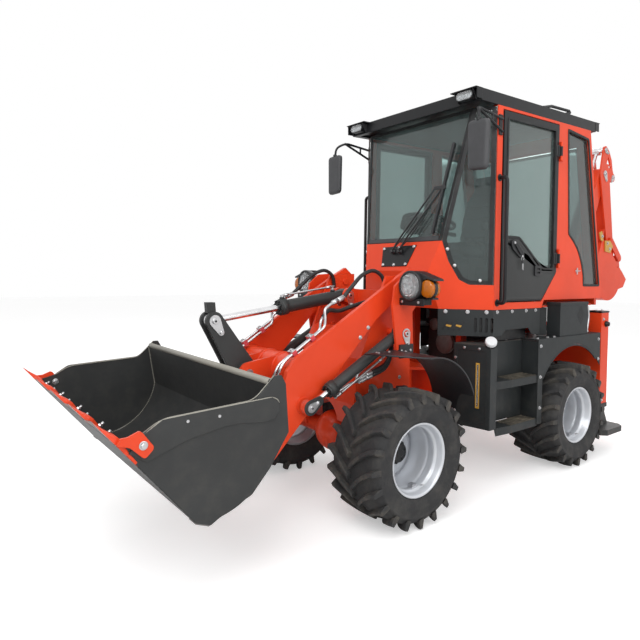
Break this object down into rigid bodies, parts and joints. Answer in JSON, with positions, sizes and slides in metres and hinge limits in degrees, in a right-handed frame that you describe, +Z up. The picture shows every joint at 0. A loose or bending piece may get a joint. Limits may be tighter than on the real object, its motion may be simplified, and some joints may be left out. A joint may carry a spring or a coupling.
{
  "type": "backhoe loader",
  "caption": "Compact articulated backhoe loader with an enclosed cab, a front loading bucket, a folded rear digging arm and sliding rear stabiliser legs.",
  "frame": {"origin": "on the ground under the middle of the machine's length and width", "axes": "+X towards the loader bucket, +Y to the machine's left, +Z up"},
  "size_m": [5.6534, 1.6, 2.7959],
  "materials": {
    "black_paint": "satin",
    "charcoal_paint": "satin",
    "chrome": "plain",
    "glass": "plain",
    "lens": "plain",
    "orange_paint": "satin",
    "plastic": "plain",
    "seat": "plain",
    "steel": "plain",
    "tyre": "plain",
    "white_paint": "satin"
  },
  "bodies": {
    "rear_machine": {"rear_frame": "orange_paint", "rear_axle": "orange_paint", "engine_block": "charcoal_paint", "side_tanks": "charcoal_paint", "side_steps": "charcoal_paint", "rear_fenders": "charcoal_paint", "cab_skirts": "charcoal_paint", "battery_box": "charcoal_paint", "cab_floor": "orange_paint", "cab_sides": "orange_paint", "cab_rear": "orange_paint", "cab_glass": "glass", "roof_frame": "black_paint", "roof_lamps": "lens", "mirrors": "black_paint", "seat_pads": "seat", "controls": "plastic"},
    "front_machine": {"front_frame": "orange_paint", "front_axle": "orange_paint", "front_fenders": "black_paint", "headlamps": "lens"},
    "door_left": {"door_left": "black_paint", "door_glass_left": "glass"},
    "door_right": {"door_right": "black_paint", "door_glass_right": "glass"},
    "loader_arms": {"loader_boom": "orange_paint"},
    "bucket_carrier": {"bucket_pins": "steel"},
    "loader_bucket": {"loader_bucket": "charcoal_paint", "bucket_teeth": "orange_paint"},
    "bellcrank_carrier": {"bellcrank_pin": "steel"},
    "bellcrank": {"bellcrank": "charcoal_paint"},
    "link_carrier": {"link_pin": "steel"},
    "tilt_link": {"tilt_link": "charcoal_paint"},
    "lift_barrels": {"lift_barrels": "charcoal_paint"},
    "lift_rods": {"lift_rods": "chrome"},
    "tilt_barrel": {"tilt_barrel": "charcoal_paint"},
    "tilt_rod": {"tilt_rod": "chrome"},
    "swing_post": {"swing_post": "orange_paint"},
    "backhoe_boom": {"backhoe_boom": "orange_paint"},
    "dipper": {"dipper": "orange_paint"},
    "backhoe_bucket": {"backhoe_bucket": "orange_paint"},
    "rocker": {"rocker": "orange_paint"},
    "bucket_link": {"bucket_link": "orange_paint"},
    "boom_barrel": {"boom_barrel": "charcoal_paint"},
    "boom_rod": {"boom_rod": "chrome"},
    "dipper_barrel": {"dipper_barrel": "charcoal_paint"},
    "dipper_rod": {"dipper_rod": "chrome"},
    "curl_barrel": {"curl_barrel": "charcoal_paint"},
    "curl_rod": {"curl_rod": "chrome"},
    "leg_left": {"leg_left": "charcoal_paint"},
    "leg_right": {"leg_right": "charcoal_paint"},
    "wheel_front_left": {"tyre_front_left": "tyre", "rim_front_left": "white_paint"},
    "wheel_front_right": {"tyre_front_right": "tyre", "rim_front_right": "white_paint"},
    "wheel_rear_left": {"tyre_rear_left": "tyre", "rim_rear_left": "white_paint"},
    "wheel_rear_right": {"tyre_rear_right": "tyre", "rim_rear_right": "white_paint"}
  },
  "joints": [
    {"name": "articulation", "type": "hinge", "parent": "rear_machine", "child": "front_machine", "pos_m": [0.461, 0, 0.66], "axis": [0, 0, 1], "range_deg": [-20, 20]},
    {"name": "wheel_front_left_spin", "type": "hinge", "parent": "front_machine", "child": "wheel_front_left", "pos_m": [1.089, 0.599, 0.39], "axis": [0, 1, 0], "continuous": true},
    {"name": "wheel_front_right_spin", "type": "hinge", "parent": "front_machine", "child": "wheel_front_right", "pos_m": [1.089, -0.599, 0.39], "axis": [0, 1, 0], "continuous": true},
    {"name": "wheel_rear_left_spin", "type": "hinge", "parent": "rear_machine", "child": "wheel_rear_left", "pos_m": [-0.639, 0.599, 0.39], "axis": [0, 1, 0], "continuous": true},
    {"name": "wheel_rear_right_spin", "type": "hinge", "parent": "rear_machine", "child": "wheel_rear_right", "pos_m": [-0.639, -0.599, 0.39], "axis": [0, 1, 0], "continuous": true},
    {"name": "door_left_swing", "type": "hinge", "parent": "rear_machine", "child": "door_left", "pos_m": [-0.499, 0.663, 1.9], "axis": [0, 0, 1], "range_deg": [0, 90]},
    {"name": "door_right_swing", "type": "hinge", "parent": "rear_machine", "child": "door_right", "pos_m": [-0.499, -0.663, 1.9], "axis": [0, 0, -1], "range_deg": [0, 90]},
    {"name": "loader_lift", "type": "hinge", "parent": "front_machine", "child": "loader_arms", "pos_m": [0.794, 0, 1.375], "axis": [0, -1, 0], "range_deg": [-7, 82]},
    {"name": "bucket_levelling", "type": "hinge", "parent": "loader_arms", "child": "bucket_carrier", "pos_m": [1.961, 0, 0.375], "axis": [0, -1, 0], "range_deg": [-69.06, 6.81]},
    {"name": "loader_bucket_tilt", "type": "hinge", "parent": "bucket_carrier", "child": "loader_bucket", "pos_m": [1.961, 0, 0.375], "axis": [0, 1, 0], "range_deg": [0, 100]},
    {"name": "bellcrank_levelling", "type": "hinge", "parent": "loader_arms", "child": "bellcrank_carrier", "pos_m": [1.799, 0, 0.856], "axis": [0, -1, 0], "range_deg": [-4.23, 38.8]},
    {"name": "bellcrank_turn", "type": "hinge", "parent": "bellcrank_carrier", "child": "bellcrank", "pos_m": [1.799, 0, 0.856], "axis": [0, -1, 0], "range_deg": [-1, 21]},
    {"name": "link_levelling", "type": "hinge", "parent": "bellcrank", "child": "link_carrier", "pos_m": [1.676, 0, 0.552], "axis": [0, -1, 0], "range_deg": [-76.52, 7.45]},
    {"name": "link_turn", "type": "hinge", "parent": "link_carrier", "child": "tilt_link", "pos_m": [1.676, 0, 0.552], "axis": [0, -1, 0], "range_deg": [-52.3, 1]},
    {"name": "lift_barrel_swing", "type": "hinge", "parent": "front_machine", "child": "lift_barrels", "pos_m": [0.9, 0, 1.065], "axis": [0, -1, 0], "range_deg": [-8.45, 88.26]},
    {"name": "lift_rod_stroke", "type": "slide", "parent": "lift_barrels", "child": "lift_rods", "axis": [0.8784, 0, -0.4779], "range_m": [-0.0377, 0.4205]},
    {"name": "tilt_barrel_swing", "type": "hinge", "parent": "front_machine", "child": "tilt_barrel", "pos_m": [1.034, 0, 1.29], "axis": [0, -1, 0], "range_deg": [-9.27, 97.84]},
    {"name": "tilt_rod_stroke", "type": "slide", "parent": "tilt_barrel", "child": "tilt_rod", "axis": [0.9906, 0, -0.1366], "range_m": [-0.1085, 0.002]},
    {"name": "backhoe_swing", "type": "hinge", "parent": "rear_machine", "child": "swing_post", "pos_m": [-1.339, 0, 0.65], "axis": [0, 0, 1], "range_deg": [-70, 70]},
    {"name": "backhoe_boom_lower", "type": "hinge", "parent": "swing_post", "child": "backhoe_boom", "pos_m": [-1.519, 0, 0.64], "axis": [0, -1, 0], "range_deg": [0, 75]},
    {"name": "boom_barrel_swing", "type": "hinge", "parent": "swing_post", "child": "boom_barrel", "pos_m": [-1.679, 0, 0.47], "axis": [0, -1, 0], "range_deg": [-1, 77.18]},
    {"name": "boom_rod_stroke", "type": "slide", "parent": "boom_barrel", "child": "boom_rod", "axis": [-0.3238, 0, 0.9461], "range_m": [-0.2853, 0.002]},
    {"name": "dipper_swing", "type": "hinge", "parent": "backhoe_boom", "child": "dipper", "pos_m": [-2.349, 0, 2.508], "axis": [0, 1, 0], "range_deg": [0, 110]},
    {"name": "dipper_barrel_swing", "type": "hinge", "parent": "backhoe_boom", "child": "dipper_barrel", "pos_m": [-1.639, 0, 1.4], "axis": [0, -1, 0], "range_deg": [-6.91, 1]},
    {"name": "dipper_rod_stroke", "type": "slide", "parent": "dipper_barrel", "child": "dipper_rod", "axis": [-0.4662, 0, 0.8847], "range_m": [-0.3865, 0.002]},
    {"name": "backhoe_bucket_curl", "type": "hinge", "parent": "dipper", "child": "backhoe_bucket", "pos_m": [-2.544, 0, 1.56], "axis": [0, 1, 0], "range_deg": [0, 90]},
    {"name": "rocker_swing", "type": "hinge", "parent": "dipper", "child": "rocker", "pos_m": [-2.495, 0, 1.82], "axis": [0, -1, 0], "range_deg": [-89.67, 1]},
    {"name": "bucket_link_swing", "type": "hinge", "parent": "rocker", "child": "bucket_link", "pos_m": [-2.683, 0, 1.648], "axis": [0, -1, 0], "range_deg": [-1, 90.25]},
    {"name": "curl_barrel_swing", "type": "hinge", "parent": "dipper", "child": "curl_barrel", "pos_m": [-2.519, 0, 2.49], "axis": [0, -1, 0], "range_deg": [-11.62, 1]},
    {"name": "curl_rod_stroke", "type": "slide", "parent": "curl_barrel", "child": "curl_rod", "axis": [-0.1912, 0, -0.9816], "range_m": [-0.3414, 0.002]},
    {"name": "leg_left_slide", "type": "slide", "parent": "rear_machine", "child": "leg_left", "axis": [0, 0, -1], "range_m": [0, 0.155]},
    {"name": "leg_right_slide", "type": "slide", "parent": "rear_machine", "child": "leg_right", "axis": [0, 0, -1], "range_m": [0, 0.155]}
  ],
  "couplings": [
    {"joint": "bucket_levelling", "follows": "loader_lift", "ratio": -0.83},
    {"joint": "bellcrank_levelling", "follows": "loader_lift", "ratio": 0.461},
    {"joint": "bellcrank_turn", "follows": "loader_bucket_tilt", "ratio": 0.2},
    {"joint": "link_levelling", "follows": "loader_lift", "ratio": -0.921},
    {"joint": "link_turn", "follows": "loader_bucket_tilt", "ratio": -0.513},
    {"joint": "lift_barrel_swing", "follows": "loader_lift", "ratio": 1.0642},
    {"joint": "lift_rod_stroke", "follows": "loader_lift", "m_per_rad": 0.2924},
    {"joint": "tilt_barrel_swing", "follows": "loader_lift", "ratio": 1.181},
    {"joint": "tilt_rod_stroke", "follows": "loader_bucket_tilt", "m_per_rad": -0.061},
    {"joint": "boom_barrel_swing", "follows": "backhoe_boom_lower", "ratio": 1.0157},
    {"joint": "boom_rod_stroke", "follows": "backhoe_boom_lower", "m_per_rad": -0.2164},
    {"joint": "dipper_barrel_swing", "follows": "dipper_swing", "ratio": -0.0537},
    {"joint": "dipper_rod_stroke", "follows": "dipper_swing", "m_per_rad": -0.2003},
    {"joint": "rocker_swing", "follows": "backhoe_bucket_curl", "ratio": -0.9852},
    {"joint": "bucket_link_swing", "follows": "backhoe_bucket_curl", "ratio": 0.9917},
    {"joint": "curl_barrel_swing", "follows": "backhoe_bucket_curl", "ratio": -0.118},
    {"joint": "curl_rod_stroke", "follows": "backhoe_bucket_curl", "m_per_rad": -0.2161}
  ]
}
